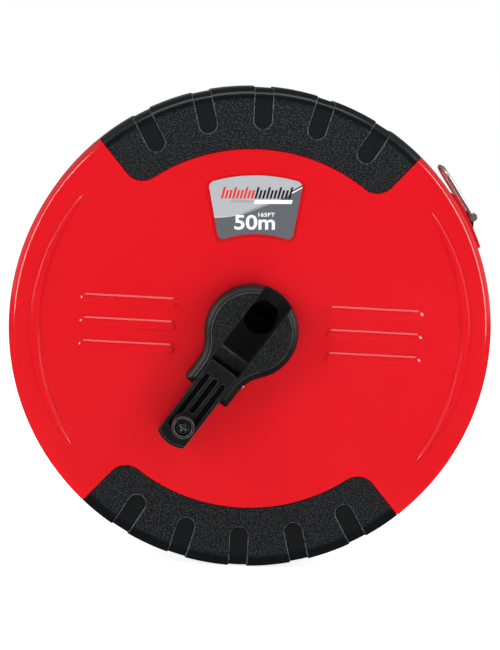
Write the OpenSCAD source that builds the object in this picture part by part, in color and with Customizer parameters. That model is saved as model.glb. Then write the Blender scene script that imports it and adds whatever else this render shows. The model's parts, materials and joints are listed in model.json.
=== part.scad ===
// Closed-case long measuring tape with a folding winding crank.
// Frame: the reel spins about Y, the crank faces -Y, +X is to the right and +Z is up.
// The origin is on the spin axis, at the plane where the two case halves meet.

/* [Case] */
// Outer radius of the round case
case_r = 97.5; // [90:0.5:110]
// Half of the case's thickness, from the parting plane to the face
case_half = 16; // [15:0.5:20]
// Radius of the rounded edge between face and rim
edge_r = 4.5; // [3:0.5:5]
// Radius of the chamber that holds the reel
chamber_r = 94; // [92:0.5:95]
// Thickness of the flat walls
wall = 2.4; // [2:0.1:3]
// Height of the pill-shaped ribs on the front face
rib_h = 0.8; // [0.4:0.1:0.9]

/* [Grips] */
// Inner radius of the rubber grips
grip_r = 73; // [68:0.5:76]
// Half of the angle that each grip covers
grip_half_angle = 41.2; // [36:0.1:42]
// Thickness of the rubber
grip_t = 1.2; // [0.8:0.1:1.5]
// Depth of the finger grooves in the rubber
groove_depth = 0.5; // [0.3:0.1:0.8]
// Width of a finger groove
groove_w = 7.5; // [5:0.1:8]

/* [Crank] */
// Direction of the open lever, seen from the front, anticlockwise from +X
arm_angle = 236; // [0:1:359]
// Radius of the hub's round end
hub_r = 18.9; // [18:0.1:22]
// Height of the hub's top above the case's face
hub_rise = 10; // [9.5:0.1:11]
// Distance of the lever's hinge pin from the spin axis
pin_u = 19.9; // [19.5:0.1:21]
// Distance of the knob from the spin axis when the lever is open
knob_u = 45.7; // [45:0.1:47]
// Distance of the lever's tip from the spin axis when the lever is open
lever_tip_u = 55.7; // [52:0.1:57]
// Width of the lever
lever_w = 12.8; // [11:0.1:13]
// Radius of the knob
knob_r = 4.5; // [4:0.1:5]
// Length of the knob
knob_len = 10.5; // [9:0.5:11]

/* [Reel] */
// Radius of the drum that the blade winds on
drum_r = 22; // [21:0.5:24]
// Outer radius of the wound blade
coil_r = 85; // [60:0.5:86]
// Width of the blade
blade_w = 13; // [10:0.5:14]
// Thickness of the blade
blade_t = 0.45; // [0.3:0.05:0.6]

/* [Mouth and ring] */
// Distance of the leaving blade from the spin axis
mouth_x = 87.5; // [87:0.1:88]
// Height of the raised lip above the rim
lip_h = 1.2; // [1:0.1:1.5]
// Radius of the end ring's wire
wire_r = 0.9; // [0.7:0.1:1]
// Length of the end ring from its pin to the end bar
ring_len = 23.2; // [22:0.1:27]
// Lean of the folded ring from straight up towards the case
ring_lean = 35; // [34:0.5:36]

/* [Hidden] */
$fn = 96;

red = [0.88, 0.10, 0.13];
rubber = [0.10, 0.10, 0.10];
black = [0.13, 0.13, 0.13];
steel = [0.74, 0.74, 0.73];
white = [0.90, 0.90, 0.87];
yellow = [0.95, 0.80, 0.15];

gap = 0.3;                              // between pieces that move past each other
run = 0.05;                             // radial clearance of a running fit
skin = 0.1;                             // overshoot of cutters past a surface

inner_half = case_half - wall;          // inside of the flat walls
screw_ring_r = 91;                      // case screws, between reel and rim
screw_angles = [45, 135, 225, 315];
screw_r = 1.25;
boss_r = 2.9;
head_r = 2.6;
head_h = 1.8;
grip_gap = 0.25;                        // dark line between rubber and case

hub_under = case_half + rib_h + 0.4;    // underside of the hub's plate
hub_top = case_half + hub_rise;
neck_r = 16;                            // part of the hub that turns in the case
channel_floor = case_half + 2.4;        // floor of the lever's channel
channel_w = lever_w + 2 * gap;
lever_bottom = channel_floor + 1.5;
lever_top = hub_top;
pin_z = (lever_bottom + lever_top) / 2; // the lever turns over about its own middle
pin_r = 1;
pocket_u = 2 * pin_u - knob_u;          // where the knob lands when folded
pocket_r = 6.5;
knob_base = lever_top + 0.4 + gap;      // above its washer
knob_end = knob_base + knob_len - 0.4;
knob_recess = 3;
pocket_floor = 2 * pin_z - knob_end - 0.6;
neck_end = pocket_floor - 2;
tail_w = 20.8;
tail_u = 30.6;
blend_r = 15;                           // hollow blend from the round end to the tail
tail_corner_r = 1.2;

collar_r = 20;                          // drum's front collar around the hub's neck
post_r = 6;                             // post on the rear case that carries the drum
web = 2.4;                              // floor between the drum's front and rear bores
anchor_angle = 150;                     // groove in the drum for the blade's inner loop
washer_t = 0.6;
flange_t = 1.4;
flange_r = coil_r + 2;
flange_in = blade_w / 2 + gap;          // inner face of each flange
flange_out = flange_in + flange_t;
drum_front = inner_half - washer_t - gap;

lip_r = case_r + lip_h;
lip_from = 22.6;
lip_to = 36.5;
lip_half_w = 11;
slot_t = 2.4;                           // free height of the mouth around the blade
liner_t = 0.9;
barrel_r = 1.7;
barrel_y = sqrt(pow(lip_r + barrel_r + gap, 2) - pow(mouth_x, 2));
clip_t = 0.5;
ring_half_w = 9;
ring_corner_r = 5;
eye_half_t = wire_r + 0.1;              // half thickness of the ring's two eyes

// Draws in the plane of the front face: x right, y up, z out of the face.
module front() {
    rotate([90, 0, 0]) children();
}

// The same plane turned so that x runs along the open lever.
module crank() {
    front() rotate([0, 0, arm_angle]) children();
}

// Wedge about +Y with the given half angle, reaching past radius r.
module wedge(r, half_angle) {
    reach = 1.05 * r / cos(half_angle);
    side = reach * sin(half_angle);
    polygon([[0, 0], [-side, reach * cos(half_angle)], [side, reach * cos(half_angle)]]);
}

// The sides of the sector meet at a point that lies apex below the centre.
module ring_sector(r_in, r_out, half_angle, apex = 0) {
    intersection() {
        difference() {
            circle(r_out);
            circle(r_in);
        }
        translate([0, -apex]) wedge(r_out + apex, half_angle);
        translate([-2 * r_out, 0]) square(4 * r_out);
    }
}

// Ring sector about +Y with rounded inner corners, and rounded outer ones if asked.
// The corner circles stand proud by a hair, so that they cross their neighbours cleanly.
module soft_sector(r_in, r_out, half_angle, corner, apex = 0, outer_corners = false) {
    inset = corner - 0.02;
    side_d = apex * sin(half_angle);
    in_t = sqrt(pow(r_in + inset, 2) - pow(side_d - inset, 2));
    out_t = sqrt(pow(r_out - inset, 2) - pow(side_d - inset, 2));
    in_a = half_angle + atan2(side_d - inset, in_t);
    out_a = half_angle + atan2(side_d - inset, out_t);
    r_mid = (r_in + r_out) / 2;
    ring_sector(norm([side_d, in_t]), outer_corners ? norm([side_d, out_t]) : r_out,
                half_angle, apex);
    ring_sector(r_in, r_mid + 1, in_a);
    if (outer_corners) ring_sector(r_mid - 1, r_out, out_a);
    for (side = [-1, 1]) {
        rotate(side * in_a) translate([0, r_in + inset]) circle(corner);
        if (outer_corners) rotate(side * out_a) translate([0, r_out - inset]) circle(corner);
    }
}

// Whole case body as a solid of revolution about z, shrunk evenly by inset.
module case_body(inset = 0) {
    flat_r = case_r - edge_r;
    flat_h = case_half - edge_r;
    rotate_extrude() {
        translate([0, inset - case_half]) square([flat_r, 2 * (case_half - inset)]);
        translate([0, -flat_h]) square([case_r - inset, 2 * flat_h]);
        for (side = [-1, 1]) translate([flat_r, side * flat_h]) circle(edge_r - inset);
    }
}

module half_space(side) {
    size = 3 * case_r;
    translate([-size / 2, -size / 2, side > 0 ? 0 : -size]) cube(size);
}

// Outline of one grip; grow widens it by a little on its three edges.
module grip_outline(grow = 0) {
    extra = asin(grow / case_r);
    soft_sector(grip_r - grow, 1.1 * case_r, grip_half_angle + extra, 8);
}

// Skin of the body, depth thick, inside a 2D outline.
module skin_patch(depth) {
    difference() {
        translate([0, 0, -2 * case_half]) linear_extrude(4 * case_half) children();
        case_body(depth);
    }
}

module groove_outline() {
    inner = case_r - 16.9 + groove_w / 2;
    for (k = [-2 : 2]) rotate(15 * k) {
        translate([0, inner]) circle(groove_w / 2);
        translate([-groove_w / 2, inner]) square([groove_w, 30]);
    }
}

module grip(up, side) {
    color(rubber) front() mirror([0, up > 0 ? 0 : 1, 0]) difference() {
        intersection() {
            case_body();
            skin_patch(grip_t) grip_outline();
            half_space(side);
        }
        skin_patch(groove_depth) groove_outline();
    }
}

module lip() {
    middle = (lip_from + lip_to) / 2;
    rotate([0, 0, middle - 90]) translate([0, 0, -lip_half_w]) linear_extrude(2 * lip_half_w)
        ring_sector(chamber_r + 1, lip_r, (lip_to - lip_from) / 2);
}

// Hollow under the ring's end bar, so that a finger can lift it.
module finger_notch() {
    rotate([0, 0, 40.2]) translate([case_r + 6.5, 0, 0]) cylinder(r = 8, h = 19, center = true);
}

module mouth_block(half_t, half_w, from_y) {
    translate([mouth_x - half_t, from_y, -half_w]) cube([2 * half_t, 30, 2 * half_w]);
}

module screw_places() {
    for (a = screw_angles) rotate([0, 0, a]) translate([screw_ring_r, 0, 0]) children();
}

// What both case halves share: the hollow body with grip seats, mouth and screw bosses.
module case_half_shell(side) {
    stiffener_r = [32, 60];
    difference() {
        union() {
            difference() {
                union() {
                    case_body();
                    lip();
                }
                cylinder(r = chamber_r, h = 2 * inner_half, center = true);
            }
            for (r = stiffener_r) difference() {
                cylinder(r = r + 0.7, h = 2 * inner_half + wall, center = true);
                cylinder(r = r - 0.7, h = 4 * case_half, center = true);
                cylinder(r = r + 2, h = 2 * (flange_out + 0.4), center = true);
            }
            screw_places() cylinder(r = boss_r, h = 2 * inner_half + wall, center = true);
        }
        half_space(-side);
        for (up = [0, 1]) mirror([0, up, 0]) skin_patch(grip_t) grip_outline(grip_gap);
        mouth_block(slot_t / 2 + liner_t, blade_w / 2 + 1.6, 30);
        finger_notch();
        screw_places() cylinder(r = screw_r, h = 12, center = true);
    }
}

module pill(x0, x1, w, h) {
    translate([x0, 0, 0]) cylinder(d = w, h = h);
    translate([x1, 0, 0]) cylinder(d = w, h = h);
    translate([x0, -w / 2, 0]) cube([x1 - x0, w, h]);
}

// Outline of the lens between two arcs, beside the rim on the right.
module lens_outline() {
    difference() {
        translate([8.8, 0]) circle(80);
        translate([-5.5, 0]) circle(90.2);
    }
}

// Lens-shaped hollow: a sharp step on its outer arc, running out to nothing inside.
module crescent() {
    depth = 0.8;
    slope = 4.75;
    inner_r = 94.4;
    difference() {
        translate([9.8, 0, case_half - depth]) cylinder(r = 77.7, h = depth + skin);
        translate([-10.7, 0, case_half - 2])
            cylinder(r1 = inner_r + 2 * slope, r2 = inner_r - slope, h = 3);
    }
}

// The label sits a little to the right of the centre line and leans with the rib rows.
module label_place() {
    translate([1.5, 0]) rotate(2.87) children();
}

module front_case() {
    rib_pitch = 9.35;
    rib_w = 4.6;
    color(red) front() difference() {
        union() {
            case_half_shell(1);
            for (s = [0, 1], k = [-1 : 1]) mirror([s, 0, 0])
                translate([0, k * rib_pitch, case_half - wall / 2])
                    pill(30.1 + rib_w / 2, 69.1 - rib_w / 2, rib_w, wall / 2 + rib_h);
            for (s = [0, 1]) mirror([s, 0, 0]) translate([0, 0, case_half - wall / 2])
                linear_extrude(wall / 2 + rib_h) lens_outline();
        }
        cylinder(r = neck_r + run, h = 2 * case_half);
        translate([0, 0, case_half - 0.6]) linear_extrude(2) label_place()
            soft_sector(37.8, 63.2, 11.35, 3.2, 44, true);
    }
}

module rear_case() {
    color(red) front() difference() {
        union() {
            case_half_shell(-1);
            translate([0, 0, -inner_half - wall / 2]) cylinder(r = post_r, h = inner_half + 5);
        }
        for (s = [0, 1]) mirror([s, 0, 0]) mirror([0, 0, 1]) crescent();
        screw_places() {
            translate([0, 0, -case_half - skin]) cylinder(r = head_r + 0.2, h = head_h + 0.4 + skin);
            cylinder(r = screw_r, h = 4 * case_half, center = true);
        }
        translate([0, 0, -inner_half]) cylinder(r = post_r - 2.4, h = 2 * inner_half);
    }
}

module top_grip_front() grip(1, 1);
module top_grip_rear() grip(1, -1);
module bottom_grip_front() grip(-1, 1);
module bottom_grip_rear() grip(-1, -1);

module front_label() {
    color(steel) front() translate([0, 0, case_half - 0.6]) linear_extrude(0.4) label_place()
        soft_sector(38.8, 62.3, 10.13, 2.5, 46.7, true);
}

// Rectangular sleeve that keeps the blade off the edges of the mouth.
module mouth_liner() {
    color(black) front() difference() {
        intersection() {
            mouth_block(slot_t / 2 + liner_t, blade_w / 2 + 1.6, 30);
            cylinder(r = lip_r, h = 3 * blade_w, center = true);
        }
        mouth_block(slot_t / 2, blade_w / 2 + 0.7, 20);
    }
}

module case_screws() {
    seat = -case_half + head_h + 0.4;
    color(steel) front() screw_places() difference() {
        union() {
            translate([0, 0, seat - head_h]) cylinder(r = head_r, h = head_h);
            translate([0, 0, seat - skin]) cylinder(r = screw_r, h = 19.8);
        }
        for (turn = [0, 90]) rotate([0, 0, turn]) translate([0, 0, seat - head_h])
            cube([3, 0.7, 1.6], center = true);
    }
}

module thrust_washer(r_in, r_out, z) {
    front() translate([0, 0, z]) difference() {
        cylinder(r = r_out, h = washer_t);
        translate([0, 0, -skin]) cylinder(r = r_in, h = washer_t + 2 * skin);
    }
}

module front_washer() color(white) thrust_washer(neck_r + gap, collar_r, inner_half - washer_t);
module rear_washer() color(white) thrust_washer(post_r, 10, -inner_half);

module hub_screw_places() {
    for (a = [0, 100, 260]) rotate([0, 0, a]) translate([12.5, 0, 0]) children();
}

// Core of the reel: a front collar takes the hub's neck, the rear bore runs on the post.
module drum_core() {
    color(white) crank() difference() {
        union() {
            translate([0, 0, -flange_in]) cylinder(r = drum_r, h = 2 * flange_in);
            cylinder(r = collar_r, h = drum_front);
            translate([0, 0, -drum_front]) cylinder(r = 10, h = drum_front);
        }
        translate([0, 0, neck_end]) cylinder(r = neck_r, h = 2 * case_half);
        translate([0, 0, -2 * case_half]) cylinder(r = post_r + run, h = 4 * case_half);
        translate([0, 0, -2 * case_half]) difference() {
            cylinder(r = 19.4, h = neck_end - web + 2 * case_half);
            cylinder(r = 10, h = 4 * case_half);
        }
        hub_screw_places() cylinder(r = screw_r, h = 40, center = true);
        rotate([0, 0, anchor_angle]) translate([drum_r - 0.9, 0, -blade_w / 2])
            cylinder(r = 1.1, h = blade_w);
    }
}

module flange(side) {
    window_r = 9;
    color(white) front() mirror([0, 0, side > 0 ? 0 : 1]) translate([0, 0, flange_in]) difference() {
        cylinder(r = flange_r, h = flange_t);
        translate([0, 0, -skin]) cylinder(r = collar_r, h = flange_t + 2 * skin);
        for (a = [0 : 60 : 300]) rotate([0, 0, a]) translate([46, 0, -skin])
            cylinder(r = window_r, h = flange_t + 2 * skin);
    }
}

module front_flange() flange(1);
module rear_flange() flange(-1);

module blade_coil() {
    color(yellow) front() difference() {
        cylinder(r = coil_r, h = blade_w, center = true);
        cylinder(r = drum_r, h = 2 * blade_w, center = true);
    }
}

module blade_anchor_pin() {
    color(steel) crank() rotate([0, 0, anchor_angle]) translate([drum_r - 1.1, 0, -blade_w / 2])
        cylinder(r = 0.9, h = blade_w);
}

// Outline of the hub: a round end blended into a straight tail, shrunk evenly by inset.
module hub_outline(inset = 0) {
    half_w = tail_w / 2 - inset;
    r = hub_r - inset;
    end_u = tail_u - inset;
    corner = max(0.3, tail_corner_r - inset);
    blend = blend_r + inset;
    blend_u = sqrt(pow(r + blend, 2) - pow(half_w + blend, 2));
    touch = r / (r + blend);
    circle(r);
    for (s = [0, 1]) mirror([0, s]) {
        difference() {
            polygon([[0, 0], [blend_u * touch, (half_w + blend) * touch], [blend_u, half_w],
                     [blend_u, 0]]);
            translate([blend_u, half_w + blend]) circle(blend);
        }
        translate([end_u - corner, half_w - corner]) circle(corner);
    }
    translate([blend_u - 0.5, -half_w]) square([end_u - corner - blend_u + 0.5, 2 * half_w]);
    translate([blend_u, -half_w + corner]) square([end_u - blend_u, 2 * (half_w - corner)]);
}

// Low block in the channel that stops just short of the lever's heel.
module heel_rest() {
    from_u = 11.5;
    to_u = pin_u - 2.4;
    top = lever_bottom - gap;
    translate([from_u, -channel_w / 2 - skin, channel_floor - 0.5])
        cube([to_u - from_u, channel_w + 2 * skin, top - channel_floor + 0.5]);
}

// Room for the outer corner of the knob's end as it swings down into its pocket.
module knob_sweep() {
    sweep_r = norm([knob_u - pin_u + knob_r, knob_end - pin_z]) + gap;
    intersection() {
        translate([pin_u, 0, pin_z]) rotate([90, 0, 0])
            cylinder(r = sweep_r, h = 2 * (knob_r + 0.5), center = true);
        translate([pocket_u - 20, -knob_r - 1, pocket_floor]) cube([20, 2 * (knob_r + 1), hub_rise]);
    }
}

module crank_hub() {
    shoulder = [[0, hub_top - 3.6], [0.7, hub_top - 2], [1.6, hub_top - 0.8], [2.6, hub_top]];
    color(black) crank() {
        difference() {
            union() {
                for (step = shoulder) translate([0, 0, hub_under])
                    linear_extrude(step[1] - hub_under) hub_outline(step[0]);
                translate([0, 0, neck_end]) cylinder(r = neck_r, h = hub_under - neck_end + 1);
            }
            translate([-2 * hub_r, -channel_w / 2, channel_floor])
                cube([4 * hub_r, channel_w, hub_rise]);
            translate([pocket_u, 0, pocket_floor]) cylinder(r = pocket_r, h = 2 * case_half);
            knob_sweep();
            translate([pin_u, 0, pin_z]) rotate([90, 0, 0])
                cylinder(r = pin_r, h = 2 * tail_w, center = true);
            hub_screw_places() translate([0, 0, neck_end - skin]) cylinder(r = screw_r, h = 7);
        }
        heel_rest();
    }
}

module hub_screws() {
    color(steel) crank() hub_screw_places() {
        translate([0, 0, neck_end - web - head_h]) cylinder(r = 2.4, h = head_h);
        translate([0, 0, neck_end - web - skin]) cylinder(r = screw_r, h = 8.5);
    }
}

// The pin is driven in from one flank and stays short of the other.
module lever_pin() {
    color(steel) crank() translate([pin_u, -9, pin_z]) rotate([-90, 0, 0])
        cylinder(r = pin_r, h = 19.2);
}

// Lever outline seen from the front: square heel, gently rounded tip.
module lever_outline() {
    tip_r = 12;
    intersection() {
        translate([pin_u - 1.9, -lever_w / 2]) square([lever_tip_u, lever_w]);
        union() {
            translate([lever_tip_u - tip_r, 0]) circle(tip_r);
            translate([0, -lever_w]) square([lever_tip_u - tip_r, 2 * lever_w]);
        }
    }
}

module crank_lever() {
    flute_w = 2.6;
    flute_pitch = 3.9;
    flute_from = 23.4;
    flute_depth = 2.6;
    boss_top_r = 4.2;
    color(black) crank() difference() {
        translate([0, 0, lever_bottom]) linear_extrude(lever_top - lever_bottom) lever_outline();
        translate([pin_u, 0, pin_z]) rotate([90, 0, 0])
            cylinder(r = pin_r + run, h = 2 * lever_w, center = true);
        difference() {
            for (k = [-1 : 1]) translate([0, k * flute_pitch, lever_top - flute_depth])
                pill(flute_from + flute_w / 2, (k == 0 ? 40.5 : 49.5) - flute_w / 2, flute_w,
                     2 * flute_depth);
            translate([knob_u, 0, lever_bottom]) cylinder(r = boss_top_r, h = 20);
        }
        translate([knob_u, 0, lever_bottom + 1]) cylinder(r = screw_r, h = 20);
    }
}

module knob_washer() {
    color(steel) crank() translate([knob_u, 0, lever_top]) difference() {
        cylinder(r = 3.4, h = 0.4);
        translate([0, 0, -skin]) cylinder(r = screw_r + run, h = 1);
    }
}

module crank_knob() {
    color(black) crank() translate([knob_u, 0, 0]) difference() {
        translate([0, 0, knob_base]) cylinder(r = knob_r, h = knob_end - knob_base);
        translate([0, 0, knob_base - skin]) cylinder(r = screw_r + run, h = 2 * knob_len);
        translate([0, 0, knob_end - knob_recess]) cylinder(r = 3.4, h = 2 * knob_recess);
    }
}

module knob_screw() {
    seat = knob_end - knob_recess + gap;
    color(steel) crank() translate([knob_u, 0, 0]) difference() {
        union() {
            translate([0, 0, seat]) cylinder(r = 2.5, h = 1.6);
            translate([0, 0, lever_bottom + 1]) cylinder(r = screw_r, h = seat - lever_bottom);
        }
        for (turn = [0, 90]) rotate([0, 0, turn]) translate([0, 0, seat + 1.6])
            cube([3, 0.7, 1.8], center = true);
    }
}

// First stretch of the blade: from beside the roll, straight up through the mouth.
module blade_lead() {
    from_y = -3;
    color(yellow) front() translate([mouth_x - blade_t / 2, from_y, -blade_w / 2])
        cube([blade_t, barrel_y - 2 - from_y, blade_w]);
}

module end_clip() {
    plate_len = 8;
    half_t = blade_t / 2 + clip_t;
    half_w = blade_w / 2;
    color(steel) front() difference() {
        union() {
            translate([mouth_x - half_t, barrel_y - 1.5 - plate_len, -half_w])
                cube([2 * half_t, plate_len + 1, 2 * half_w]);
            translate([mouth_x, barrel_y, 0])
                cylinder(r = barrel_r, h = 2 * (ring_half_w - eye_half_t - gap), center = true);
        }
        translate([mouth_x, barrel_y, 0]) cylinder(r = wire_r, h = 40, center = true);
        translate([mouth_x - blade_t / 2, 0, -blade_w]) cube([blade_t, barrel_y - 2, 2 * blade_w]);
        for (s = [-1, 1]) translate([mouth_x, barrel_y - 5.5, 3.6 * s]) rotate([0, 90, 0])
            cylinder(r = 0.8, h = 10, center = true);
    }
}

module clip_rivets() {
    head_r = 1.3;
    half_t = blade_t / 2 + clip_t;
    color(steel) front() for (s = [-1, 1]) translate([mouth_x, barrel_y - 5.5, 3.6 * s])
        rotate([0, 90, 0]) for (end = [0, 1]) mirror([0, 0, end]) {
            translate([0, 0, blade_t / 2]) cylinder(r = 0.8, h = clip_t);
            translate([0, 0, half_t]) cylinder(r = head_r, h = 0.15);
        }
}

module ring_pin() {
    head_z = ring_half_w + eye_half_t + gap;
    color(steel) front() translate([mouth_x, barrel_y, 0]) {
        cylinder(r = wire_r, h = 2 * head_z, center = true);
        for (s = [0, 1]) mirror([0, 0, s]) translate([0, 0, head_z]) cylinder(r = 1.4, h = 0.4);
    }
}

// Wire loop on its pin, folded back over the rim.
module end_ring() {
    leg = ring_len - ring_corner_r;
    color(steel) front() translate([mouth_x, barrel_y, 0]) rotate([0, 0, ring_lean]) {
        for (s = [0, 1]) mirror([0, 0, s]) {
            difference() {
                union() {
                    translate([0, 0, ring_half_w - eye_half_t])
                        cylinder(r = barrel_r, h = 2 * eye_half_t);
                    translate([0, 0, ring_half_w]) rotate([-90, 0, 0]) cylinder(r = wire_r, h = leg);
                }
                cylinder(r = wire_r + run, h = 40, center = true);
            }
            translate([0, leg, ring_half_w - ring_corner_r]) rotate([0, -90, 0])
                rotate_extrude(angle = 90) translate([ring_corner_r, 0]) circle(wire_r, $fn = 32);
        }
        translate([0, ring_len, 0])
            cylinder(r = wire_r, h = 2 * (ring_half_w - ring_corner_r), center = true);
    }
}

front_case();
rear_case();
top_grip_front();
top_grip_rear();
bottom_grip_front();
bottom_grip_rear();
front_label();
mouth_liner();
case_screws();
front_washer();
rear_washer();
drum_core();
front_flange();
rear_flange();
blade_coil();
blade_anchor_pin();
crank_hub();
hub_screws();
lever_pin();
crank_lever();
knob_screw();
knob_washer();
crank_knob();
blade_lead();
end_clip();
clip_rivets();
ring_pin();
end_ring();
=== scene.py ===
"""Closed-case long tape reel with a folding winding crank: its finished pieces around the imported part.

Metres, in the part's own frame: the reel turns about Y, the crank faces -Y and +Z is up.
Sizes in the script are millimetres and go through mm().
"""

import json
import math

import bmesh
import bpy
from mathutils import Matrix, Vector


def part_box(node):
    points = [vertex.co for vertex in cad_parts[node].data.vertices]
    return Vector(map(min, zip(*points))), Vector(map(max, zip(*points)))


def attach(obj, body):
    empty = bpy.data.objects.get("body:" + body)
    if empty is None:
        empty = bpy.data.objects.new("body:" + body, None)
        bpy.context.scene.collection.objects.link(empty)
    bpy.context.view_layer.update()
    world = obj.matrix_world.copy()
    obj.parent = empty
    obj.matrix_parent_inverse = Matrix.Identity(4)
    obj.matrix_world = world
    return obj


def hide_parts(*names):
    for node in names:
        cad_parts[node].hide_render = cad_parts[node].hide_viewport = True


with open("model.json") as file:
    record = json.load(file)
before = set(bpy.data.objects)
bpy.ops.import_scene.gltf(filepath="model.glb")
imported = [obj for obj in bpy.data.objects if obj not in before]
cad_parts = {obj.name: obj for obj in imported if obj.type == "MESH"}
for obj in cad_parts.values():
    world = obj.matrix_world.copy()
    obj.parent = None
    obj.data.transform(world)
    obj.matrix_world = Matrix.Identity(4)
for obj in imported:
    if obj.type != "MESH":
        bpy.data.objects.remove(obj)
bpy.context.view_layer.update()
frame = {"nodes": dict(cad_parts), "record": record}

MM = 0.001
ARM_ANGLE = math.radians(236)                          # the open lever, from +X
FRONT = Matrix.Rotation(math.radians(90), 4, "X")     # x right, y up, z out of the face
CRANK = FRONT @ Matrix.Rotation(ARM_ANGLE, 4, "Z")    # the same, with x along the open lever

CASE_R, CASE_HALF = 97.5, 16.0
GRIP_RIM, GRIP_RIM_END = 92.2, 93.6                    # where a grip's grained face becomes its smooth rim
HUB_UNDER, HUB_TOP, HUB_R = 17.2, 26.0, 18.9          # the hub's plate and its round end
TAIL_U, TAIL_W, TAIL_CORNER, BLEND_R = 30.6, 20.8, 1.2, 15.0   # its tail, and the hollow between the two
CHANNEL_W, CHANNEL_FLOOR, CHANNEL_REST = 13.4, 18.4, 19.6
NECK_R, NECK_END = 16.0, 6.5
PIN_U, PIN_H, PIN_R = 19.9, 22.95, 1.0                 # the lever's hinge pin
KNOB_U, KNOB_R, KNOB_END, KNOB_RECESS = 45.7, 4.5, 36.8, 3.0
POCKET_U, POCKET_R, POCKET_FLOOR = 2 * PIN_U - KNOB_U, 6.5, 8.5
HUB_SCREW_TURNS, HUB_SCREW_AT, HUB_SCREW_R = (0, 100, 260), 12.5, 1.25
OPEN_TOP = HUB_TOP + 4                                 # how high the cuts from above reach
RIB_RISE = 0.8
LENS_INNER, LENS_OUTER, LENS_TIP = (-5.5, 90.2), (8.8, 80.0), 59.43   # centre and radius of each arc
LABEL_X, LABEL_TOP, LABEL_LEAN = 1.5, 15.8, math.radians(2.87)
EDGE_HIGHLIGHT = 1                                               # the second material: a painted highlight, pale grey, on rounded edges


def mm(*values):
    """Millimetres to metres, as one number or a vector."""
    scaled = [v * MM for v in values]
    return scaled[0] if len(scaled) == 1 else Vector(scaled)


# ---------------------------------------------------------------- materials


def srgb(code):
    """An sRGB hex colour as linear RGBA."""
    parts = [int(code[i : i + 2], 16) / 255 for i in (1, 3, 5)]
    return [c / 12.92 if c <= 0.04045 else ((c + 0.055) / 1.055) ** 2.4 for c in parts] + [1.0]


def add(tree, kind, inputs=(), to=None, **settings):
    """Adds a node and gives its output. Inputs are values or outputs to link from; to is what it feeds."""
    node = tree.nodes.new("ShaderNode" + kind)
    for name, value in settings.items():
        setattr(node, name, value)
    for key, value in inputs.items() if isinstance(inputs, dict) else enumerate(inputs):
        if isinstance(value, bpy.types.NodeSocket):
            tree.links.new(value, node.inputs[key])
        else:
            node.inputs[key].default_value = value
    output = next(socket for socket in node.outputs if socket.enabled)
    if to:
        tree.links.new(output, to)
    return output


def new_material(name, **sockets):
    """A material with one Principled shader, and its tree, its shader's inputs and Object coordinates."""
    material = bpy.data.materials.new(name)
    material.use_nodes = True
    inputs = material.node_tree.nodes["Principled BSDF"].inputs
    for key, value in sockets.items():
        inputs[key.replace("_", " ")].default_value = value
    place = add(material.node_tree, "TexCoord").node.outputs["Object"]
    return material, material.node_tree, inputs, place


def uneven(name, size, detail, colours, rough=None, depth=None, start=0.3, end=0.7, **sockets):
    """A finish whose colour, roughness and bump all follow one cloudy pattern, size millimetres across."""
    material, tree, shader, place = new_material(name, **sockets)
    cloud = add(tree, "TexNoise", {"Vector": place, "Scale": 1 / mm(size), "Detail": detail})
    share = add(tree, "MapRange", (cloud, start, end, 0, 1))
    low, high = map(srgb, colours)
    add(tree, "Mix", {0: share, 6: low, 7: high}, shader["Base Color"], data_type="RGBA")
    if rough:
        add(tree, "MapRange", (cloud, 0.3, 0.7, *rough), shader["Roughness"])
    if depth:
        add(tree, "Bump", {"Height": cloud, "Distance": mm(depth)}, shader["Normal"])
    return material


def red_abs():
    """Injection-moulded gloss ABS: an even strong red with a faint orange peel and dull rub marks."""
    material, tree, shader, place = new_material("red_abs_gloss_moulded", IOR=1.5)
    cloud, rubs, peel = (
        add(tree, "TexNoise", {"Vector": place, "Scale": 1 / mm(size), "Detail": detail})
        for size, detail in ((60, 3), (40, 2), (5, 2))
    )
    share = add(tree, "MapRange", (cloud, 0.3, 0.7, 0, 1))
    low, high = srgb("#D8141D"), srgb("#DC1721")
    add(tree, "Mix", {0: share, 6: low, 7: high}, shader["Base Color"], data_type="RGBA")
    add(tree, "MapRange", (rubs, 0.3, 0.7, 0.09, 0.13), shader["Roughness"])
    add(tree, "Bump", {"Height": peel, "Distance": mm(0.012)}, shader["Normal"])
    return material


def black_rubber():
    """Moulded TPR rubber: charcoal, its face spark-eroded to a sparkling grain, its grooves and rim smooth.

    The real grain is about 0.2 mm; it is drawn at 0.55 mm so that it shows.
    """
    material, tree, shader, place = new_material("black_tpr_rubber_grained", IOR=1.5)
    axis = add(tree, "SeparateXYZ", (place,)).node.outputs
    flat = add(tree, "CombineXYZ", {"X": axis["X"], "Z": axis["Z"]})
    radius = add(tree, "VectorMath", (flat,), operation="LENGTH")
    inside_rim = add(tree, "MapRange", (radius, mm(GRIP_RIM), mm(GRIP_RIM_END), 1, 0))
    off_middle = add(tree, "Math", (axis["Y"],), operation="ABSOLUTE")
    above_grooves = add(tree, "MapRange", (off_middle, mm(CASE_HALF - 0.4), mm(CASE_HALF - 0.2), 0, 1))
    face = add(tree, "Math", (inside_rim, above_grooves), operation="MULTIPLY")
    pits = add(tree, "TexNoise", {"Vector": place, "Scale": 1 / mm(0.55), "Detail": 1})
    sparks = add(tree, "MapRange", (pits, 0.5, 0.75, 0, 1))
    peaks = add(tree, "Math", (sparks, face), operation="MULTIPLY")
    low, high = srgb("#101214"), srgb("#404244")
    add(tree, "Mix", {0: peaks, 6: low, 7: high}, shader["Base Color"], data_type="RGBA")
    smooth = add(tree, "MapRange", (pits, 0.3, 0.7, 0.22, 0.26))
    coarse = add(tree, "MapRange", (pits, 0.3, 0.7, 0.36, 0.6))
    add(tree, "Mix", {0: inside_rim, 2: smooth, 3: coarse}, shader["Roughness"])
    add(tree, "Bump", {"Height": pits, "Distance": mm(0.2), "Strength": face}, shader["Normal"])
    return material


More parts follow.
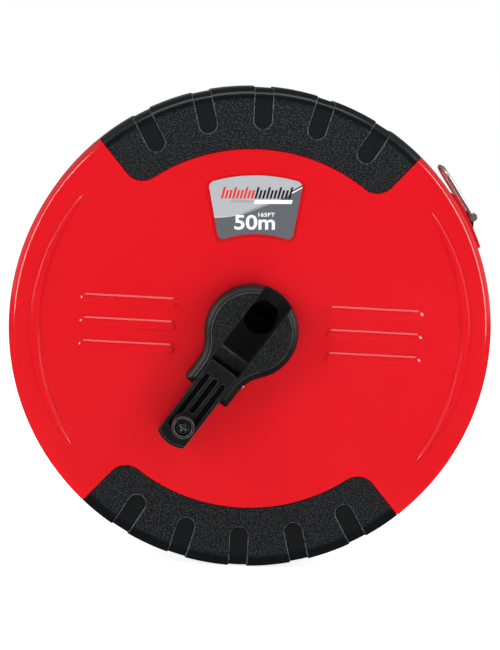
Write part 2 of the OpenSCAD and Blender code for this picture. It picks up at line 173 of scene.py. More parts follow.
def black_nylon():
    """Glass-filled nylon hub: a matt top with a spark-eroded grain, and a smoother dark shoulder below it.

    The real grain is about 0.2 mm; it is drawn at 0.45 mm so that it shows.
    """
    material, tree, shader, place = new_material("black_glass_filled_nylon", IOR=1.53)
    axis = add(tree, "SeparateXYZ", (place,)).node.outputs
    top = add(tree, "MapRange", (axis["Y"], mm(0.02 - HUB_TOP), mm(0.2 - HUB_TOP), 1, 0))
    pits = add(tree, "TexNoise", {"Vector": place, "Scale": 1 / mm(0.45), "Detail": 1})
    sparks = add(tree, "MapRange", (pits, 0.5, 0.75, 0, 1))
    peaks = add(tree, "Math", (sparks, top), operation="MULTIPLY")
    low, high = srgb("#0E0F0F"), srgb("#353638")
    add(tree, "Mix", {0: peaks, 6: low, 7: high}, shader["Base Color"], data_type="RGBA")
    smooth = add(tree, "MapRange", (pits, 0.3, 0.7, 0.46, 0.54))
    coarse = add(tree, "MapRange", (pits, 0.3, 0.7, 0.4, 0.62))
    add(tree, "Mix", {0: top, 2: smooth, 3: coarse}, shader["Roughness"])
    strength = add(tree, "MapRange", (top, 0, 1, 0.15, 1))
    add(tree, "Bump", {"Height": pits, "Distance": mm(0.12), "Strength": strength}, shader["Normal"])
    return material


def black_lever_nylon():
    """The lever's nylon: darker and smoother than the hub's, rubbed to a low sheen."""
    return uneven(
        "black_nylon_rubbed", 0.6, 3, ("#131314", "#232425"), (0.3, 0.44), 0.04, 0.45, 0.75, IOR=1.5,
    )


def painted_edge_highlight():
    """Painted highlight on moulded edges: the same nylon or rubber drawn pale grey and a little glossier,
    for light caught on the rounding.
    """
    return uneven(
        "black_moulding_painted_edge_highlight", 1.6, 3, ("#2C2D2E", "#5E6062"), (0.26, 0.36), 0.006, 0.35, 0.6,
        IOR=1.5,
    )


def sheen_painted_nylon():
    """Nylon where the lever's heel slides: rubbed to a soft gloss, and drawn lighter grey than the hub as
    painted sheen.
    """
    return uneven("black_nylon_painted_sheen", 2.2, 4, ("#252627", "#303132"), (0.24, 0.34), 0.008, IOR=1.53)


def edge_highlight_steel():
    """Painted highlight on screw edges: bright steel grey, for light caught on them."""
    return uneven(
        "steel_painted_edge_highlight", 0.5, 3, ("#C8C8C8", "#E4E4E4"), None, 0.006, Metallic=0.9, Roughness=0.4,
    )


def black_acetal():
    """Moulded acetal of the knob and the mouth: smooth semi-gloss black."""
    return uneven("black_acetal_smooth", 3, 5, ("#161617", "#1C1C1E"), (0.28, 0.42), 0.01, IOR=1.48)


def white_acetal():
    """Natural acetal of the reel's inner parts: milky white with faint flow lines."""
    return uneven(
        "white_acetal_moulded", 7, 5, ("#DCDBD4", "#E9E8E2"), (0.36, 0.5), 0.02,
        IOR=1.48, Subsurface_Weight=0.05,
    )


def nickel_wire():
    """Bright nickel plate on drawn steel: pale warm grey with small dull spots."""
    return uneven("bright_nickel_plate", 1.5, 5, ("#E2DED6", "#ECE9E2"), (0.3, 0.38), 0.004, Metallic=0.9)


def zinc_screw():
    """Zinc-plated machine steel: blue-grey with a soft uneven sheen."""
    return uneven("zinc_plated_steel", 0.8, 5, ("#8E9296", "#AEB2B6"), (0.28, 0.46), 0.015, Metallic=1)


def black_oxide_painted_pale():
    """Black-oxide steel of the knob's screw and the end clip, thinned here and there; drawn mid grey, paler
    than black oxide is, as painted light on the screw down in the knob's recess.
    """
    # painted light: mid grey, paler than black oxide
    return uneven(
        "oxide_steel_painted_pale", 0.6, 4, ("#4A4A4C", "#8C8C8E"), (0.3, 0.45), 0.01, 0.5, 0.8, Metallic=1,
    )


def ink(name, *colours):
    """Screen-printed ink: flat, slightly satin, with a barely uneven coat."""
    return uneven(name, 0.7, 3, colours, None, 0.004, Roughness=0.45, IOR=1.5)


def tape_enamel():
    """Enamelled glass-fibre tape: satin yellow, with a black line across one edge every half centimetre."""
    material, tree, shader, place = new_material("yellow_enamelled_fibre_tape", Roughness=0.38, IOR=1.5)
    weave = add(tree, "TexNoise", {"Vector": place, "Scale": 1 / mm(0.8), "Detail": 2})
    share = add(tree, "MapRange", (weave, 0.3, 0.7, 0, 1))
    ground = add(tree, "Mix", {0: share, 6: srgb("#E8B90F"), 7: srgb("#F2C81C")}, data_type="RGBA")
    axis = add(tree, "SeparateXYZ", (place,)).node.outputs
    spacings = add(tree, "Math", (axis["Z"], mm(5)), operation="DIVIDE")
    steps = add(tree, "Math", (spacings,), operation="FRACT")
    line = add(tree, "Math", (steps, 0.11), operation="LESS_THAN")
    edge = add(tree, "Math", (axis["Y"], mm(3.2)), operation="GREATER_THAN")
    mark = add(tree, "Math", (line, edge), operation="MULTIPLY")
    add(tree, "Mix", {0: mark, 6: ground, 7: srgb("#141414")}, shader["Base Color"], data_type="RGBA")
    add(tree, "Bump", {"Height": weave, "Distance": mm(0.03)}, shader["Normal"])
    return material


def wound_tape():
    """The tape's wound edges: fine rings, drawn every 1.35 mm, three turns each, so that they show."""
    material, tree, shader, place = new_material("wound_fibre_tape_edges", Roughness=0.5, IOR=1.5)
    half_pitch = 0.675
    axis = add(tree, "SeparateXYZ", (place,)).node.outputs
    flat = add(tree, "CombineXYZ", {"X": axis["X"], "Z": axis["Z"]})
    radius = add(tree, "VectorMath", (flat,), operation="LENGTH")
    turn = add(tree, "Math", (radius, mm(half_pitch)), operation="PINGPONG")
    groove = add(tree, "MapRange", (turn, 0, mm(0.3), 0, 1))
    low, high = srgb("#A9821A"), srgb("#E8BC1E")
    add(tree, "Mix", {0: groove, 6: low, 7: high}, shader["Base Color"], data_type="RGBA")
    add(tree, "Bump", {"Height": groove, "Distance": mm(0.12)}, shader["Normal"])
    return material


def label_film():
    """Printed polyester film: fine silver above a slate field, parted by a rising swoosh with thin stripes.

    The real flake is far finer; it is drawn at 0.35 mm so that it shows.
    """
    material, tree, shader, place = new_material("printed_silver_polyester_film", Roughness=0.4, IOR=1.5)
    flake = add(tree, "TexNoise", {"Vector": place, "Scale": 1 / mm(0.35), "Detail": 2})
    share = add(tree, "MapRange", (flake, 0.3, 0.7, 0, 1))
    silver = add(tree, "Mix", {0: share, 6: srgb("#A9AEB1"), 7: srgb("#B9BEC1")}, data_type="RGBA")
    slate = add(tree, "Mix", {0: share, 6: srgb("#5A5F64"), 7: srgb("#646A6F")}, data_type="RGBA")
    in_label = {"Vector": place, "Location": (mm(LABEL_X), 0, 0), "Rotation": (0, -LABEL_LEAN, 0)}
    level = add(tree, "Mapping", in_label, vector_type="TEXTURE")
    across, _, up = add(tree, "SeparateXYZ", (level,)).node.outputs
    along = add(tree, "MapRange", (across, mm(-20), mm(20), 0, 1))
    rise = add(tree, "FloatCurve", {"Value": along})
    bend = rise.node.mapping.curves[0].points
    bend[0].location, bend[1].location = (0, 0.27), (1, 0.9)
    for share_across, share_up in ((0.28, 0.3), (0.6, 0.51)):
        bend.new(share_across, share_up)
    rise.node.mapping.update()
    swoosh = add(tree, "Math", (rise, mm(20), mm(40)), operation="MULTIPLY_ADD")
    above = add(tree, "Math", (up, swoosh), operation="SUBTRACT")
    side = add(tree, "MapRange", (above, mm(-0.06), mm(0.06), 0, 1))
    colour = add(tree, "Mix", {0: side, 6: slate, 7: silver}, data_type="RGBA")
    right_end = add(tree, "MapRange", (across, mm(13.9), mm(14.3), 0, 1))
    left_end = add(tree, "MapRange", (across, mm(-12), mm(-6), 1, 0))
    middle_from = add(tree, "MapRange", (across, mm(-6), mm(-2), 0, 1))
    middle_to = add(tree, "MapRange", (across, mm(7), mm(8), 1, 0))
    middle = add(tree, "Math", (middle_from, middle_to), operation="MULTIPLY")
    blur = 0.04
    stripes = (
        (0.0, 0.6, right_end, "#F2F2F2"), (0.6, 1.2, right_end, "#161616"),
        (0.25, 0.7, middle, "#82878B"), (0.0, 0.22, left_end, "#E6E8E9"),
    )
    for low, high, where, code in stripes:
        over = add(tree, "MapRange", (above, mm(low - blur), mm(low + blur), 0, 1))
        under = add(tree, "MapRange", (above, mm(high - blur), mm(high + blur), 1, 0))
        band = add(tree, "Math", (over, under), operation="MULTIPLY")
        stripe = add(tree, "Math", (band, where), operation="MULTIPLY")
        colour = add(tree, "Mix", {0: stripe, 6: colour, 7: srgb(code)}, data_type="RGBA")
    tree.links.new(colour, shader["Base Color"])
    add(tree, "Bump", {"Height": flake, "Distance": mm(0.003)}, shader["Normal"])
    return material


LOOKS = {
    "case_red": red_abs(),
    "grip_rubber": black_rubber(),
    "nylon": black_nylon(),
    "lever_nylon": black_lever_nylon(),
    "black_plastic": black_acetal(),
    "white_plastic": white_acetal(),
    "bright_steel": nickel_wire(),
    "screw_steel": zinc_screw(),
    "blade_yellow": tape_enamel(),
    "wound_tape": wound_tape(),
    "black_oxide_painted_pale": black_oxide_painted_pale(),
    "painted_edge_highlight": painted_edge_highlight(),
    "sheen_painted_nylon": sheen_painted_nylon(),
    "edge_highlight_steel": edge_highlight_steel(),
    "label_film": label_film(),
    "white_ink": ink("white_screen_ink", "#F0F0F0", "#F8F8F8"),
    "black_ink": ink("black_screen_ink", "#121212", "#1A1A1A"),
    "red_ink": ink("red_screen_ink", "#E0241C", "#EA2A20"),
    "grey_ink": ink("grey_screen_ink", "#9EA3A7", "#A8ADB1"),
}


# ---------------------------------------------------------------- making pieces


def place_piece(bm, name, body, look, nodes=(), edge_look=None, smooth_angle=32, weighted=True):
    """Turns a bmesh into a finished object that rides on a body and stands for its nodes."""
    for face in bm.faces:
        face.smooth = True
    for edge in bm.edges:
        edge.smooth = len(edge.link_faces) == 2 and edge.calc_face_angle() < math.radians(smooth_angle)
    mesh = bpy.data.meshes.new(name)
    bm.to_mesh(mesh)
    bm.free()
    piece = bpy.data.objects.new(name, mesh)
    bpy.context.scene.collection.objects.link(piece)
    mesh.materials.append(LOOKS[look])
    if edge_look:
        mesh.materials.append(LOOKS[edge_look])
    if weighted:
        even = piece.modifiers.new("even_shading", "WEIGHTED_NORMAL")
        even.keep_sharp = True
        even.weight = 80
    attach(piece, body)
    if nodes:
        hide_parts(*nodes)
    return piece


def merged(node):
    """A copy of a CAD node as one closed mesh with its flat faces whole."""
    bm = bmesh.new()
    bm.from_mesh(frame["nodes"][node].data)
    bmesh.ops.remove_doubles(bm, verts=bm.verts, dist=1e-6)
    bmesh.ops.dissolve_limit(bm, angle_limit=math.radians(0.2), verts=bm.verts, edges=bm.edges)
    return bm


def crisp_edges(bm, angle=30):
    """Edges that turn by more than an angle in degrees."""
    return [e for e in bm.edges if len(e.link_faces) == 2 and e.calc_face_angle() > math.radians(angle)]


def soften(bm, edges, radius, segments=2, material=-1):
    """Rounds edges by a radius in millimetres; one segment makes a chamfer."""
    bmesh.ops.bevel(
        bm, geom=edges, offset=mm(radius), offset_type="OFFSET", segments=segments,
        profile=0.5, affect="EDGES", material=material, clamp_overlap=False,
    )


def finished_node(node, body, slot, look, radius, edge_look=None):
    """A CAD node with its crisp edges rounded within its box, in a second material where they carry a
    painted highlight.
    """
    bm = merged(node)
    # with an edge look, the roundings get a painted highlight
    soften(bm, crisp_edges(bm), radius, material=EDGE_HIGHLIGHT if edge_look else -1)
    low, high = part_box(node)
    for vert in bm.verts:
        vert.co = [min(max(c, l), h) for c, l, h in zip(vert.co, low, high)]
    return place_piece(bm, node + "_finished", body, look, [node], edge_look)


def cut(bm, cutter, operation="DIFFERENCE"):
    """The exact difference, union or intersection of two closed shapes; both are used up."""
    objects = []
    for part in (bm, cutter):
        mesh = bpy.data.meshes.new("blank")
        part.to_mesh(mesh)
        part.free()
        objects.append(bpy.data.objects.new("blank", mesh))
        bpy.context.scene.collection.objects.link(objects[-1])
    step = objects[0].modifiers.new("cut", "BOOLEAN")
    step.operation, step.solver, step.object = operation, "EXACT", objects[1]
    shape = objects[0].evaluated_get(bpy.context.evaluated_depsgraph_get()).to_mesh()
    result = bmesh.new()
    result.from_mesh(shape)
    for used in objects:
        mesh = used.data
        bpy.data.objects.remove(used)
        bpy.data.meshes.remove(mesh)
    bmesh.ops.remove_doubles(result, verts=result.verts, dist=1e-6)
    return result


def box(low, high):
    """A closed block between two corners."""
    bm = bmesh.new()
    size = [h - l for l, h in zip(low, high)]
    middle = [(l + h) / 2 for l, h in zip(low, high)]
    bmesh.ops.create_cube(bm, size=1, matrix=Matrix.LocRotScale(mm(*middle), None, mm(*size)))
    return bm


def rod(radius, middle, length, axis="Z", segments=64):
    """A closed cylinder about its middle."""
    turn = {"Z": Matrix(), "Y": Matrix.Rotation(math.radians(90), 4, "X")}[axis]
    bm = bmesh.new()
    bmesh.ops.create_cone(
        bm, cap_ends=True, segments=segments, radius1=mm(radius), radius2=mm(radius), depth=mm(length),
        matrix=Matrix.Translation(mm(*middle)) @ turn,
    )
    return bm


def lathe(outline, place, steps=72):
    """Turns a closed outline of (radius, height) about z."""
    bm = bmesh.new()
    points = [bm.verts.new(mm(r, 0, h)) for r, h in outline]
    for pair in zip(points, points[1:] + points[:1]):
        bm.edges.new(pair)
    bmesh.ops.spin(
        bm, geom=bm.verts[:] + bm.edges[:], cent=(0, 0, 0), axis=(0, 0, 1), angle=math.tau,
        steps=steps, use_merge=True,
    )
    bmesh.ops.remove_doubles(bm, verts=bm.verts, dist=1e-7)
    bmesh.ops.recalc_face_normals(bm, faces=bm.faces)
    bmesh.ops.transform(bm, matrix=place, verts=bm.verts)
    return bm


# ---------------------------------------------------------------- case


def lens_ridge(bm, side):
    """A low ridge between two arcs beside the rim; its slopes run together at the tips."""
    slope_w, sunk, skirt_h = 0.9, 0.03, 0.4
    tip_gap, tip_run = 1.1, 1.4                        # where the arcs close in, the ridge sinks
    grid = bmesh.ops.create_grid(bm, x_segments=30, y_segments=110, size=1)["verts"]
    for vert in grid:
        y = LENS_TIP * math.sin(vert.co.y * math.pi / 2)
        inner, outer = (c + math.sqrt(r * r - y * y) for c, r in (LENS_INNER, LENS_OUTER))
        x = inner + (outer - inner) * (math.sin(vert.co.x * math.pi / 2) + 1) / 2
        slope = max(0.0, min(1.0, min(x - inner, outer - x) / slope_w))
        fade = max(0.0, min(1.0, (outer - inner - tip_gap) / tip_run))
        rise = RIB_RISE * slope * slope * (3 - 2 * slope) * fade
        vert.co = FRONT @ mm(side * x, y, CASE_HALF - sunk + rise)
    bmesh.ops.remove_doubles(bm, verts=grid, dist=1e-6)
    grid = [v for v in grid if v.is_valid]
    rim = [e for e in {e for v in grid for e in v.link_edges} if e.is_boundary]
    skirt = bmesh.ops.extrude_edge_only(bm, edges=rim)["geom"]
    low = [v for v in skirt if isinstance(v, bmesh.types.BMVert)]
    bmesh.ops.translate(bm, vec=mm(0, skirt_h, 0), verts=low)
    open_edges = [e for e in skirt if isinstance(e, bmesh.types.BMEdge) and e.is_boundary]
    bmesh.ops.holes_fill(bm, edges=open_edges)
    whole = {f for v in grid + low for f in v.link_faces}
    bmesh.ops.recalc_face_normals(bm, faces=list(whole))


def faces_above(bm, height):
    """The front's faces that lie higher than a height over the parting plane."""
    return [f for f in bm.faces if all(-v.co.y > mm(height) for v in f.verts)]


def front_shell():
    """Front half of the case: pillowed ribs and lens ridges instead of the plain raised shapes."""
    bm = merged("front_case")
    beside_ribs = 75
    raised = faces_above(bm, CASE_HALF + 0.01)
    lenses = {v for f in raised if abs(f.calc_center_median().x) > mm(beside_ribs) for v in f.verts}
    bmesh.ops.delete(bm, geom=list(lenses), context="VERTS")
    bmesh.ops.holes_fill(bm, edges=[e for e in bm.edges if e.is_boundary])
    rib_tops = {v for f in faces_above(bm, CASE_HALF + 0.01) for v in f.verts}
    near = {v for top in rib_tops for f in top.link_faces for v in f.verts}
    soften(bm, [e for e in crisp_edges(bm) if not near & set(e.verts)], 0.3)
    ribs = faces_above(bm, CASE_HALF + 0.5)
    rib_tops = {v for f in ribs for v in f.verts}
    bmesh.ops.translate(bm, vec=mm(0, RIB_RISE - 0.08, 0), verts=list(rib_tops))
    for width, lift in ((0.2, 0.1), (0.55, 0.35), (0.35, 0.18), (0.25, 0.07), (0.2, 0.02)):
        bmesh.ops.inset_region(
            bm, faces=ribs, thickness=mm(width), depth=mm(lift), use_boundary=True, use_even_offset=True,
        )
    for side in (-1, 1):
        lens_ridge(bm, side)
    return place_piece(bm, "front_case_finished", "case", "case_red", ["front_case"])


def on_a_groove(point):
    """Whether a point of a grip's crisp edge is on the lip of a finger groove, on the face."""
    off_top = math.degrees(math.atan2(abs(point.x), abs(point.z)))
    return off_top < 36 and math.hypot(point.x, point.z) > mm(79) and abs(point.y) > mm(11)


def grip(node):
    """Rubber grip: the lips of its finger grooves carry a painted highlight in pale grey, its outer edges
    don't.
    """
    bm = merged(node)
    crisp = crisp_edges(bm)
    for edge in crisp:
        edge.tag = not all(on_a_groove(v.co) for v in edge.verts)
    # painted highlight: the groove lips are drawn pale grey
    soften(bm, [e for e in crisp if not e.tag], 0.16, material=EDGE_HIGHLIGHT)
    soften(bm, [e for e in crisp_edges(bm) if e.tag], 0.16)
    return place_piece(bm, node + "_finished", "case", "grip_rubber", [node], "painted_edge_highlight")


# ---------------------------------------------------------------- crank


def arc(middle_u, middle_v, radius, start, end, steps):
    """Points on an arc, angles in degrees."""
    angles = [math.radians(start + (end - start) * i / steps) for i in range(steps + 1)]
    return [(middle_u + radius * math.cos(a), middle_v + radius * math.sin(a)) for a in angles]


def hub_loop(bm, inset, height):
    """The hub's outline, shrunk evenly by inset, as a loop of edges."""
    r, half_w, blend = HUB_R - inset, TAIL_W / 2 - inset, BLEND_R + inset
    corner, end_u = max(0.3, TAIL_CORNER - inset), TAIL_U - inset
    blend_u = math.sqrt((r + blend) ** 2 - (half_w + blend) ** 2)
    meet = math.degrees(math.atan2(half_w + blend, blend_u))
    side = arc(end_u - corner, half_w - corner, corner, 0, 90, 6)
    side += arc(blend_u, half_w + blend, blend, -90, meet - 180, 14)
    side += arc(0, 0, r, meet, 180, 36)[1:]
    outline = side + [(u, -v) for u, v in reversed(side[:-1])]
    verts = [bm.verts.new(mm(u, v, height)) for u, v in outline]
    return [bm.edges.new(pair) for pair in zip(verts, verts[1:] + verts[:1])]


def hub_body():
    """The hub's rounded plate on its neck: the last step of its shoulder carries a painted highlight in
    pale grey.
    """
    shoulder = (
        (0, HUB_UNDER), (0, HUB_TOP - 3.4), (0.12, HUB_TOP - 2.6), (0.45, HUB_TOP - 1.75),
        (1.0, HUB_TOP - 1.05), (1.75, HUB_TOP - 0.55), (2.6, HUB_TOP - 0.32), (2.75, HUB_TOP),
    )
    bm = bmesh.new()
    loops = [hub_loop(bm, inset, height) for inset, height in shoulder]
    for low, high in zip(loops, loops[1:]):
        wall = bmesh.ops.bridge_loops(bm, edges=low + high)["faces"]
    for face in wall:
        # painted highlight: the shoulder's last step is drawn pale grey
        face.material_index = EDGE_HIGHLIGHT
    for end in (loops[0], loops[-1]):
        bmesh.ops.edgeloop_fill(bm, edges=end)
    bmesh.ops.recalc_face_normals(bm, faces=bm.faces)
    neck_top = HUB_UNDER + 0.6
    return cut(bm, rod(NECK_R, (0, 0, (NECK_END + neck_top) / 2), neck_top - NECK_END), "UNION")


def knob_room():
    """The room that the knob sweeps as the lever folds: a disc about the pin, as wide as the knob."""
    reach = math.hypot(KNOB_U - PIN_U + KNOB_R, KNOB_END - PIN_H) + 0.3
    half_w = KNOB_R + 0.5
    sweep = rod(reach, (PIN_U, 0, PIN_H), 2 * half_w, "Y", 128)
    room = box((PIN_U - reach, -half_w, POCKET_FLOOR), (POCKET_U, half_w, OPEN_TOP))
    far_end = [
        e for e in room.edges
        if all(v.co.x < mm(POCKET_U - 1) for v in e.verts)
        and abs(e.verts[0].co.z - e.verts[1].co.z) > mm(1)
    ]
    soften(room, far_end, 4.2, 10)
    return cut(sweep, room, "INTERSECT")


def hub():
    """Crank hub: its body with the lever's channel, the knob's pocket, the pin's bore and screw holes."""
    pocket_h, screw_hole_h = 20, 7
    cutters = [
        box((-30, -CHANNEL_W / 2, CHANNEL_FLOOR), (40, CHANNEL_W / 2, OPEN_TOP)),
        rod(POCKET_R, (POCKET_U, 0, POCKET_FLOOR + pocket_h / 2), pocket_h),
        knob_room(),
        rod(PIN_R, (PIN_U, 0, PIN_H), 2 * TAIL_W, "Y", 32),
    ]
    for turn in HUB_SCREW_TURNS:
        middle = Vector((HUB_SCREW_AT, 0, NECK_END - 0.1 + screw_hole_h / 2))
        turned = Matrix.Rotation(math.radians(turn), 3, "Z") @ middle
        cutters.append(rod(HUB_SCREW_R, turned, screw_hole_h, segments=32))
    bm = hub_body()
    for cutter in cutters:
        bm = cut(bm, cutter)
    soften(bm, crisp_edges(bm, 50), 0.22)
    bmesh.ops.transform(bm, matrix=CRANK, verts=bm.verts)
    return place_piece(
        bm, "crank_hub_finished", "reel", "nylon", ["crank_hub"], "painted_edge_highlight",
        smooth_angle=40,
    )


def heel_rest():
    """Low convex rest in the hub's channel, just short of the lever's heel."""
    half_w, sunk = CHANNEL_W / 2 + 0.1, 2.2
    near_u, far_u = 10.8, PIN_U - 2.2
    bm = box((near_u, -half_w, CHANNEL_FLOOR - sunk), (far_u, half_w, CHANNEL_REST))
    across = [
        e for e in bm.edges
        if all(v.co.z > mm(CHANNEL_FLOOR) for v in e.verts)
        and abs(e.verts[0].co.x - e.verts[1].co.x) < 1e-6
    ]
    soften(bm, across, 2.0, 10)
    bmesh.ops.transform(bm, matrix=CRANK, verts=bm.verts)
    # painted sheen: the rest is drawn lighter grey than the hub
    return place_piece(bm, "heel_rest", "reel", "sheen_painted_nylon")


def lever():
    """Folding lever with a broad chamfer round its tip."""
    bm = merged("crank_lever")
    bmesh.ops.transform(bm, matrix=CRANK.inverted(), verts=bm.verts)
    tip_r = mm(12)
    middle = max(v.co.x for v in bm.verts) - tip_r
    tip = [
        e for e in crisp_edges(bm)
        if all(abs(v.co.z - mm(HUB_TOP)) < 1e-5 for v in e.verts)
        and all(abs(math.hypot(v.co.x - middle, v.co.y) - tip_r) < 2e-5 for v in e.verts)
    ]
    soften(bm, tip, 1.1, 1)
    # painted highlight: the lever's small roundings are drawn pale grey
    soften(bm, crisp_edges(bm), 0.12, material=EDGE_HIGHLIGHT)
    bmesh.ops.transform(bm, matrix=CRANK, verts=bm.verts)
    return place_piece(
        bm, "crank_lever_finished", "lever", "lever_nylon", ["crank_lever"], "painted_edge_highlight",
    )


def knob():
    """Turned grip knob: a little narrower towards its base, with a rounded rim about the screw's recess."""
    base, bore_r, base_r, recess_r = HUB_TOP + 0.7, 1.3, 4.2, 3.4
    recess = KNOB_END - KNOB_RECESS
    outline = (
        (bore_r, base), (base_r, base), (KNOB_R, recess), (KNOB_R, KNOB_END), (recess_r, KNOB_END),
        (recess_r, recess), (bore_r, recess),
    )
    bm = lathe(outline, CRANK @ Matrix.Translation(mm(KNOB_U, 0, 0)))
    # painted highlight: the knob's roundings are drawn pale grey
    soften(bm, crisp_edges(bm), 0.35, 4, EDGE_HIGHLIGHT)
    return place_piece(
        bm, "crank_knob_finished", "knob", "black_plastic", ["crank_knob"], "painted_edge_highlight",
    )


def lever_pin():
    """Steel hinge pin, domed where it shows on the hub's flank."""
    blind_end, domed_end = -9.0, TAIL_W / 2 + 0.6
    outline = ((0, blind_end), (PIN_R, blind_end), (PIN_R, domed_end), (0, domed_end))
    across = Matrix.Translation(mm(PIN_U, 0, PIN_H)) @ Matrix.Rotation(math.radians(-90), 4, "X")
    bm = lathe(outline, CRANK @ across, steps=32)
    soften(bm, crisp_edges(bm), 0.7, 5)
    return place_piece(bm, "lever_pin_finished", "reel", "bright_steel", ["lever_pin"])


# ---------------------------------------------------------------- tape's end


def end_clip():
    """Folded clip on the tape's end: its barrel and plates, closed along both edges of the tape."""
    bm = merged("end_clip")
    soften(bm, crisp_edges(bm), 0.1)
    low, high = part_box("blade_lead")
    plate_t, plate_len, past_end, top = 0.3, 7.4, 0.4, high[2] / MM
    inside, outside = low[0] / MM - plate_t, high[0] / MM + plate_t
    for near, far in ((-6.75, -6.45), (6.45, 6.75)):
        fold = box((inside, near, top - plate_len), (outside, far, top + past_end))
        soften(fold, fold.edges[:], 0.08)
        mesh = bpy.data.meshes.new("fold")
        fold.to_mesh(mesh)
        fold.free()
        bm.from_mesh(mesh)
        bpy.data.meshes.remove(mesh)
    # painted light: the clip's oxide is drawn paler than it is
    return place_piece(bm, "end_clip_finished", "blade_end", "black_oxide_painted_pale", ["end_clip"])


# ---------------------------------------------------------------- printed label


LABEL = FRONT @ Matrix.Translation(mm(LABEL_X, 0, 0)) @ Matrix.Rotation(LABEL_LEAN, 4, "Z")
INK_T = 0.02


def printed(bm, name, look):
    """Lays a shape drawn in the label's plane on the label's film, a thin coat thick."""
    bmesh.ops.transform(bm, matrix=LABEL @ Matrix.Translation(mm(0, 0, LABEL_TOP)), verts=bm.verts)
    return place_piece(bm, name, "case", look, weighted=False)


def lettering(words, low, high, weight):
    """Closed lettering that fills the field from its low to its high corner."""
    half_depth = 0.05
    text = bpy.data.curves.new("lettering", "FONT")
    text.body, text.extrude, text.offset = words, half_depth, weight
    holder = bpy.data.objects.new("lettering", text)
    bpy.context.scene.collection.objects.link(holder)
    bm = bmesh.new()
    bm.from_mesh(holder.evaluated_get(bpy.context.evaluated_depsgraph_get()).to_mesh())
    bpy.data.objects.remove(holder)
    bpy.data.curves.remove(text)
    bmesh.ops.remove_doubles(bm, verts=bm.verts, dist=1e-5)
    xs, ys = ([v.co[i] for v in bm.verts] for i in (0, 1))
    bmesh.ops.translate(bm, vec=(-min(xs), -min(ys), 0), verts=bm.verts)
    wide, tall = (mm(h - l) for l, h in zip(low, high))
    fit = (wide / (max(xs) - min(xs)), tall / (max(ys) - min(ys)), mm(INK_T) / half_depth)
    bmesh.ops.scale(bm, vec=fit, verts=bm.verts)
    bmesh.ops.translate(bm, vec=mm(*low, INK_T / 2), verts=bm.verts)
    return bm


def slanted_bar(bm, x, y, width, height, lean=0.28):
    """Adds an upright bar with its foot at x, y that leans to the right."""
    middle = mm(x + width / 2, y + height / 2, INK_T / 2)
    size = mm(width, height, 2 * INK_T)
    for vert in bmesh.ops.create_cube(bm, size=1, matrix=Matrix.LocRotScale(middle, None, size))["verts"]:
        vert.co.x += lean * (vert.co.y - mm(y))


def label_print():
    """The length in white, and a plain scale of slanted bars, part red and part black."""
    printed(lettering("50m", (-8.5, 40.5), (7.8, 46.5), 0.022), "label_length_metres", "white_ink")
    printed(lettering("165FT", (1.1, 45.75), (7.8, 47.4), 0.02), "label_length_feet", "white_ink")
    plate, bar, red, black = (bmesh.new() for _ in range(4))
    slanted_bar(plate, -0.8, 50.9, 15.2, 1.6)
    slanted_bar(bar, -10, 51.3, 9, 1.2)
    left, foot, pitch, bar_w, long_h, short_h = -14, 53, 1.5, 0.85, 4.6, 3.4
    for k in range(19):
        height = long_h if k % 3 == 0 else short_h
        slanted_bar(red if k < 9 else black, left + pitch * k, foot, bar_w, height)
    printed(plate, "label_white_plate", "white_ink")
    printed(bar, "label_grey_bar", "grey_ink")
    printed(red, "label_scale_red", "red_ink")
    printed(black, "label_scale_black", "black_ink")


# ---------------------------------------------------------------- all pieces


BODY_OF = {n: b for b, members in frame["record"]["behaviour"]["bodies"].items() for n in members}
FINISH = {   # node: its slot, its look, its edges' radius and, where they carry a painted highlight, its look
    "rear_case": ("case_red", "case_red", 0.3),
    "front_label": ("label_foil", "label_film", 0.06),
    "mouth_liner": ("black_plastic", "black_plastic", 0.2),
    "case_screws": ("screw_steel", "screw_steel", 0.2),
    "front_washer": ("white_plastic", "white_plastic", 0.1),
    "rear_washer": ("white_plastic", "white_plastic", 0.1),
    "drum_core": ("white_plastic", "white_plastic", 0.3),
    "front_flange": ("white_plastic", "white_plastic", 0.3),
    "rear_flange": ("white_plastic", "white_plastic", 0.3),
    "blade_coil": ("blade_yellow", "wound_tape", 0.2),
    "blade_anchor_pin": ("screw_steel", "screw_steel", 0.2),
    "hub_screws": ("screw_steel", "screw_steel", 0.2),
    # painted light: the knob screw is drawn pale, with a painted highlight on its edges
    "knob_screw": ("screw_steel", "black_oxide_painted_pale", 0.14, "edge_highlight_steel"),
    "knob_washer": ("screw_steel", "screw_steel", 0.08),
    "blade_lead": ("blade_yellow", "blade_yellow", 0.05),
    "clip_rivets": ("bright_steel", "bright_steel", 0.15),
    "ring_pin": ("bright_steel", "bright_steel", 0.2),
    "end_ring": ("bright_steel", "bright_steel", 0.15),
}
front_shell()
for node in ("top_grip_front", "top_grip_rear", "bottom_grip_front", "bottom_grip_rear"):
    grip(node)
hub()
heel_rest()
lever()
knob()
lever_pin()
end_clip()
label_print()
for node, (slot, look, *finish) in FINISH.items():
    finished_node(node, BODY_OF[node], slot, look, *finish)


# ---------------------------------------------------------------- stage, lights and camera


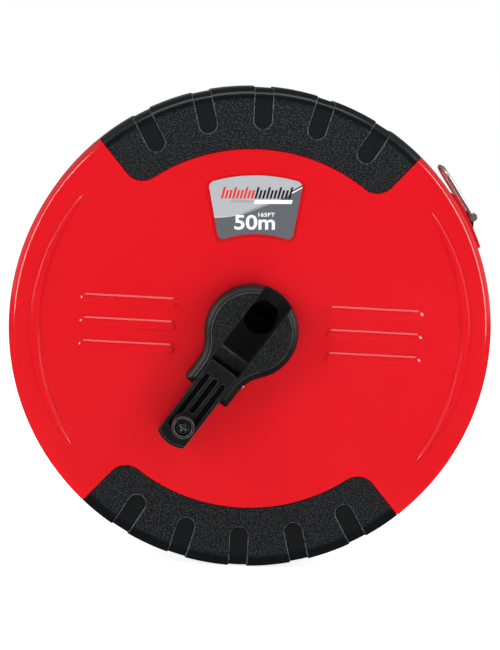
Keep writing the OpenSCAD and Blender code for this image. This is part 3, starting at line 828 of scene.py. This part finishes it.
def stage_floor():
    """White paper under the case, dark to glossy rays so that the shells reflect no bright floor."""
    bm = bmesh.new()
    bmesh.ops.create_grid(bm, x_segments=1, y_segments=1, size=3)
    bmesh.ops.translate(bm, vec=mm(0, 0, -CASE_R), verts=bm.verts)
    mesh = bpy.data.meshes.new("studio_floor")
    bm.to_mesh(mesh)
    bm.free()
    floor = bpy.data.objects.new("studio_floor", mesh)
    bpy.context.scene.collection.objects.link(floor)
    material = uneven(
        "matt_white_paper", 3, 3, ("#F6F6F6", "#FAFAFA"),
        Roughness=0.9, Emission_Color=(1, 1, 1, 1), Emission_Strength=0.85,
    )
    tree = material.node_tree
    paper = tree.nodes["Principled BSDF"].outputs[0]
    flag = add(tree, "BsdfDiffuse", {"Color": (0.02, 0.02, 0.02, 1)})
    glossy = add(tree, "LightPath").node.outputs["Is Glossy Ray"]
    add(tree, "MixShader", (glossy, paper, flag), tree.nodes["Material Output"].inputs["Surface"])
    mesh.materials.append(material)


def softbox(name, position, width, height, watts):
    """A rectangular lamp that faces the part's middle."""
    data = bpy.data.lights.new(name, "AREA")
    data.shape, data.size, data.size_y, data.energy = "RECTANGLE", width, height, watts
    lamp = bpy.data.objects.new(name, data)
    lamp.location = position
    lamp.rotation_euler = (-lamp.location).to_track_quat("-Z", "Y").to_euler()
    bpy.context.scene.collection.objects.link(lamp)


def studio():
    """A tent that is dark in front and brightest at both sides, with two side strips and one above."""
    scene = bpy.context.scene
    scene.view_settings.view_transform = "Standard"
    world = bpy.data.worlds.new("studio_white")
    world.use_nodes = True
    scene.world = world
    tree = world.node_tree
    tree.nodes["Background"].inputs["Strength"].default_value = 0.0
    heading = add(tree, "SeparateXYZ", (add(tree, "TexCoord").node.outputs["Generated"],)).node.outputs
    sideways = add(tree, "Math", (heading["X"],), operation="ABSOLUTE")
    beside = add(tree, "MapRange", (sideways, 0.4, 0.9, 0.14, 0.5))
    behind = add(tree, "MapRange", (heading["Y"], -0.9, -0.3, 0.1, 1))
    walls = add(tree, "Math", (beside, behind), operation="MULTIPLY")
    tent = add(tree, "Background", {"Color": (1, 1, 1, 1), "Strength": walls})
    seen = add(tree, "Background", {"Color": (1, 1, 1, 1), "Strength": 1.0})
    ray = add(tree, "LightPath").node.outputs["Is Camera Ray"]
    add(tree, "MixShader", (ray, tent, seen), tree.nodes["World Output"].inputs["Surface"])
    for name, x in (("left_box", -0.95), ("right_box", 0.95)):
        softbox(name, (x, -0.5, 0.3), 0.16, 0.9, 5.0)
    softbox("top_box", (0, -0.6, 1.0), 1.2, 0.3, 3.7)


def camera():
    """Looks at the crank side from a little above and to its left, rolled by a few degrees."""
    elevation, azimuth, roll = map(math.radians, (6.5, -2.6, 3.3))
    distance = 1.0
    data = bpy.data.cameras.new("camera")
    data.sensor_fit, data.sensor_height, data.lens = "VERTICAL", 24, 90.3
    back = Vector((
        math.sin(azimuth) * math.cos(elevation),
        -math.cos(azimuth) * math.cos(elevation),
        math.sin(elevation),
    ))
    eye = bpy.data.objects.new("camera", data)
    eye.location = back * distance + mm(0.2, 0, 0.2)
    facing = (-back).to_track_quat("-Z", "Y").to_matrix().to_4x4()
    eye.rotation_euler = (facing @ Matrix.Rotation(roll, 4, "Z")).to_euler()
    bpy.context.scene.collection.objects.link(eye)
    bpy.context.scene.camera = eye


stage_floor()
studio()
camera()
